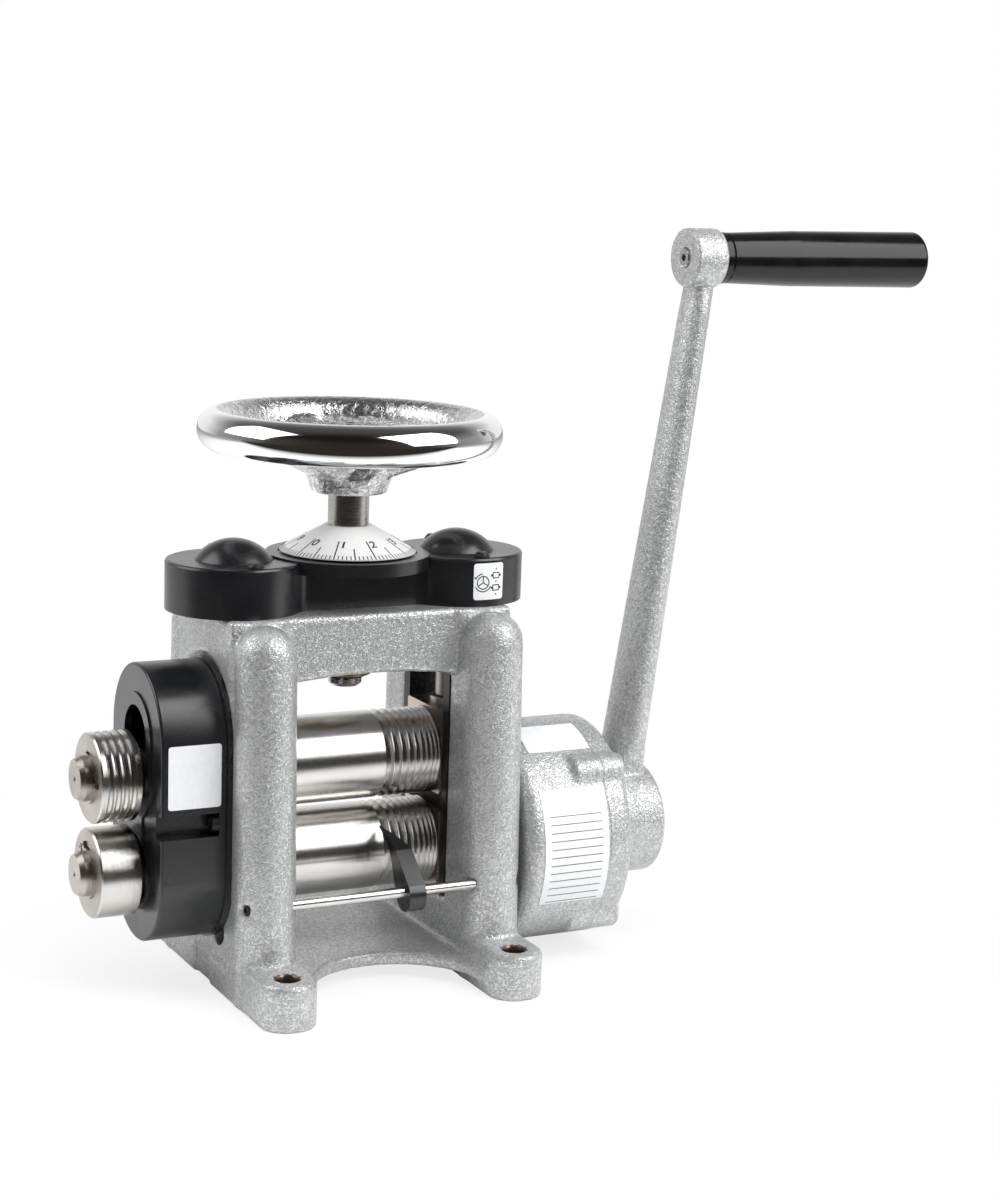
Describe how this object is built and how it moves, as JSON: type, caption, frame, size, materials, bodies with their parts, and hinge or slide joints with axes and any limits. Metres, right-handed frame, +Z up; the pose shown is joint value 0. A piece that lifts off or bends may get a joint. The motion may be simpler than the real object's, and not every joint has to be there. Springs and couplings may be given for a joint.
{
  "type": "jewellers rolling mill",
  "caption": "Hand-cranked combination rolling mill with flat and wire-grooved rolls, side extension rolls, a geared screw-down handwheel and a reduction gearbox.",
  "frame": {"origin": "centre of the four base bolts, on the bench", "axes": "+X along the rolls towards the crank, +Y away from the operator, +Z up"},
  "size_m": [0.5345, 0.208, 0.4223],
  "materials": {
    "cast": "silver hammer finish on cast iron",
    "black_cover": "satin",
    "dial": "smooth white with black graduations",
    "bright_casting": "polished rim, rough cast spokes",
    "roll_steel": "ground and polished",
    "steel": "machined",
    "block_steel": "machined",
    "black_steel": "black oxide",
    "bronze": "machined bronze",
    "rubber": "moulded",
    "grip": "glossy"
  },
  "bodies": {
    "mill_body": {"mill_frame": "cast", "guide_plates": "black_steel", "lower_bearing_left": "block_steel", "lower_bearing_right": "block_steel", "lower_roll_bushes": "bronze", "screw_nut_left": "bronze", "screw_nut_right": "bronze", "top_cover": "black_cover", "gear_lid": "black_cover", "cover_screws": "black_steel", "spindle_bush": "bronze", "gear_cover": "black_cover", "gear_cover_screws": "black_steel", "gearbox_housing": "cast", "gearbox_end_cover": "cast", "ring_gear": "steel", "gearbox_cover_screws": "black_steel", "gearbox_mount_screws": "black_steel", "input_bush": "bronze", "guide_bar": "roll_steel", "guide_bar_screws": "black_steel", "lift_pads": "rubber"},
    "carriage": {"upper_bearing_left": "block_steel", "upper_bearing_right": "block_steel", "upper_roll_bushes": "bronze", "thrust_pads": "steel"},
    "gear_left": {"screw_gear_left": "steel"},
    "gear_right": {"screw_gear_right": "steel"},
    "screw_left": {"pressure_screw_left": "steel"},
    "screw_right": {"pressure_screw_right": "steel"},
    "handwheel_set": {"handwheel": "bright_casting", "spindle": "roll_steel", "centre_gear": "steel", "centre_gear_key": "steel", "depth_dial": "dial", "spindle_circlip": "black_steel", "handwheel_screw": "steel"},
    "upper_roll_set": {"upper_roll": "roll_steel", "upper_keys": "steel", "upper_timing_gear": "steel", "upper_extension_roll": "roll_steel", "upper_circlip": "black_steel"},
    "lower_roll_set": {"lower_roll": "roll_steel", "lower_keys": "steel", "lower_timing_gear": "steel", "lower_extension_roll": "roll_steel", "lower_circlip": "black_steel", "planet_carrier": "steel", "planet_pins": "steel"},
    "planet_1": {"planet_gear_1": "steel"},
    "planet_2": {"planet_gear_2": "steel"},
    "planet_3": {"planet_gear_3": "steel"},
    "crank": {"crank_arm": "cast", "sun_shaft": "steel", "crank_key": "steel", "crank_screw": "black_steel", "grip_bolt": "black_steel", "grip_washer": "grip"},
    "grip": {"handle_grip": "grip"},
    "guide": {"wire_guide": "black_cover"}
  },
  "joints": [
    {"name": "crank_turn", "type": "hinge", "parent": "mill_body", "child": "crank", "pos_m": [0.18, 0, 0.068], "axis": [1, 0, 0], "continuous": true},
    {"name": "lower_roll_spin", "type": "hinge", "parent": "mill_body", "child": "lower_roll_set", "pos_m": [0, 0, 0.068], "axis": [1, 0, 0], "continuous": true},
    {"name": "upper_roll_spin", "type": "hinge", "parent": "carriage", "child": "upper_roll_set", "pos_m": [0, 0, 0.1215], "axis": [1, 0, 0], "continuous": true},
    {"name": "grip_spin", "type": "hinge", "parent": "crank", "child": "grip", "pos_m": [0.31, 0, 0.405], "axis": [1, 0, 0], "continuous": true},
    {"name": "handwheel_turn", "type": "hinge", "parent": "mill_body", "child": "handwheel_set", "pos_m": [0, 0, 0.25], "axis": [0, 0, 1], "range_deg": [-488, 359]},
    {"name": "carriage_lift", "type": "slide", "parent": "mill_body", "child": "carriage", "axis": [0, 0, 1], "range_m": [-0.0034, 0.0025], "deforming": ["lift_pads"]},
    {"name": "guide_slide", "type": "slide", "parent": "mill_body", "child": "guide", "axis": [1, 0, 0], "range_m": [-0.06, 0.026]},
    {"name": "planet_1_spin", "type": "hinge", "parent": "lower_roll_set", "child": "planet_1", "pos_m": [0.113, 0, 0.098], "axis": [1, 0, 0], "continuous": true},
    {"name": "planet_2_spin", "type": "hinge", "parent": "lower_roll_set", "child": "planet_2", "pos_m": [0.113, -0.02598, 0.053], "axis": [1, 0, 0], "continuous": true},
    {"name": "planet_3_spin", "type": "hinge", "parent": "lower_roll_set", "child": "planet_3", "pos_m": [0.113, 0.02598, 0.053], "axis": [1, 0, 0], "continuous": true},
    {"name": "gear_left_spin", "type": "hinge", "parent": "mill_body", "child": "gear_left", "pos_m": [-0.068, 0, 0.23], "axis": [0, 0, 1], "range_deg": [-599, 814]},
    {"name": "screw_left_spin", "type": "hinge", "parent": "carriage", "child": "screw_left", "pos_m": [-0.068, 0, 0.2], "axis": [0, 0, 1], "range_deg": [-599, 814]},
    {"name": "gear_right_spin", "type": "hinge", "parent": "mill_body", "child": "gear_right", "pos_m": [0.068, 0, 0.23], "axis": [0, 0, 1], "range_deg": [-599, 814]},
    {"name": "screw_right_spin", "type": "hinge", "parent": "carriage", "child": "screw_right", "pos_m": [0.068, 0, 0.2], "axis": [0, 0, 1], "range_deg": [-599, 814]}
  ],
  "couplings": [
    {"joint": "lower_roll_spin", "follows": "crank_turn", "ratio": 0.25},
    {"joint": "upper_roll_spin", "follows": "crank_turn", "ratio": -0.25},
    {"joint": "planet_1_spin", "follows": "crank_turn", "ratio": -0.75},
    {"joint": "planet_2_spin", "follows": "crank_turn", "ratio": -0.75},
    {"joint": "planet_3_spin", "follows": "crank_turn", "ratio": -0.75},
    {"joint": "carriage_lift", "follows": "handwheel_turn", "m_per_rad": 0.00039789},
    {"joint": "gear_left_spin", "follows": "handwheel_turn", "ratio": -1.6667},
    {"joint": "screw_left_spin", "follows": "handwheel_turn", "ratio": -1.6667},
    {"joint": "gear_right_spin", "follows": "handwheel_turn", "ratio": -1.6667},
    {"joint": "screw_right_spin", "follows": "handwheel_turn", "ratio": -1.6667}
  ]
}
